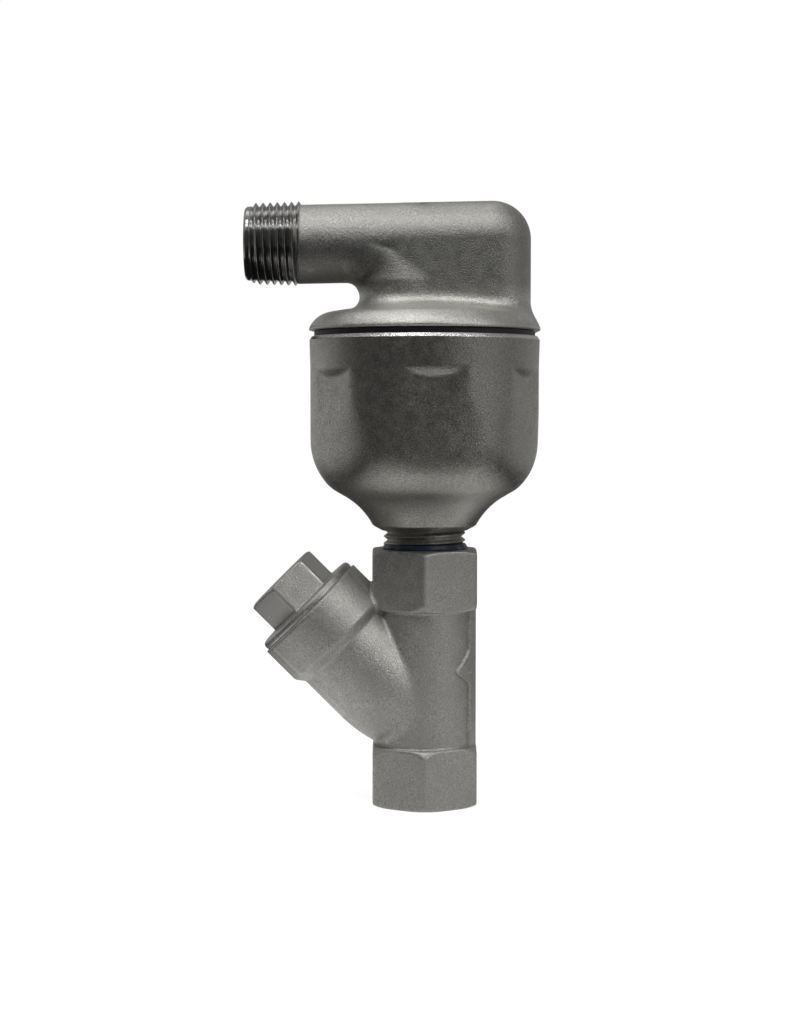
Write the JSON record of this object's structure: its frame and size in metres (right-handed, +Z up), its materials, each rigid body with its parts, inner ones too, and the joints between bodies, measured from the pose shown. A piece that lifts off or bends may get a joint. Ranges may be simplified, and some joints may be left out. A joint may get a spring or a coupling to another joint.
{
  "type": "air release valve",
  "caption": "Float type air release valve: domed chamber with a side outlet elbow, screwed onto a Y strainer with a hex blow down plug.",
  "frame": {"origin": "centre of the bottom pipe end, on the main axis, at the mouth of the inlet thread", "axes": "+Z up the main axis, -X towards the outlet thread and the strainer's branch, -Y towards the viewer of the picture"},
  "size_m": [0.0752, 0.0592, 0.1544],
  "materials": {
    "cast_steel": "bead blasted investment cast stainless steel, satin",
    "bowl_steel": "blasted stainless steel, darker satin",
    "plug_steel": "cast and faced stainless steel, satin",
    "turned_steel": "turned stainless steel, bright",
    "sheet_steel": "rolled stainless sheet",
    "spring_steel": "spring steel",
    "float_steel": "spun stainless sheet, smooth",
    "weld_steel": "weld bead, heat tinted",
    "gasket_rubber": "black rubber",
    "gasket_sheet": "white fluoropolymer sheet",
    "valve_rubber": "black rubber",
    "thread_sealant": "dried dark blue pipe sealant"
  },
  "bodies": {
    "valve_body": {"strainer_body": "cast_steel", "strainer_screen": "sheet_steel", "screen_end_ring": "sheet_steel", "float_bowl": "bowl_steel", "thread_sealant": "thread_sealant", "cover_gasket": "gasket_rubber", "cover_casting": "cast_steel", "seat_bushing": "turned_steel", "seat_washer": "gasket_sheet", "lever_bracket": "sheet_steel", "bracket_screws": "turned_steel", "bracket_washers": "spring_steel", "pivot_pin": "turned_steel", "pivot_clip": "spring_steel"},
    "float_assembly": {"float_lever": "sheet_steel", "float_upper_shell": "float_steel", "float_lower_shell": "float_steel", "float_weld": "weld_steel", "float_stud": "turned_steel", "float_washer": "spring_steel", "float_nut": "turned_steel"},
    "valve_plunger": {"valve_stem": "turned_steel", "valve_disc": "valve_rubber", "valve_pin": "turned_steel"},
    "gasket_ring": {"plug_gasket": "gasket_sheet"},
    "blowdown_plug": {"strainer_plug": "plug_steel"}
  },
  "joints": [
    {"name": "float_swing", "type": "hinge", "parent": "valve_body", "child": "float_assembly", "pos_m": [0.017, 0, 0.1144], "axis": [0, 1, 0], "range_deg": [0, 10]},
    {"name": "valve_travel", "type": "slide", "parent": "valve_body", "child": "valve_plunger", "axis": [0, 0, 1], "range_m": [0, 0.00125]},
    {"name": "plug_travel", "type": "slide", "parent": "valve_body", "child": "gasket_ring", "axis": [-0.7071, 0, 0.7071], "range_m": [0, 0.0092]},
    {"name": "plug_unscrew", "type": "hinge", "parent": "gasket_ring", "child": "blowdown_plug", "pos_m": [0, 0, 0.02096], "axis": [-0.7071, 0, 0.7071], "range_deg": [0, 2160]}
  ],
  "couplings": [
    {"joint": "valve_travel", "follows": "float_swing", "m_per_rad": 0.007},
    {"joint": "plug_travel", "follows": "plug_unscrew", "m_per_rad": 0.00023873}
  ]
}
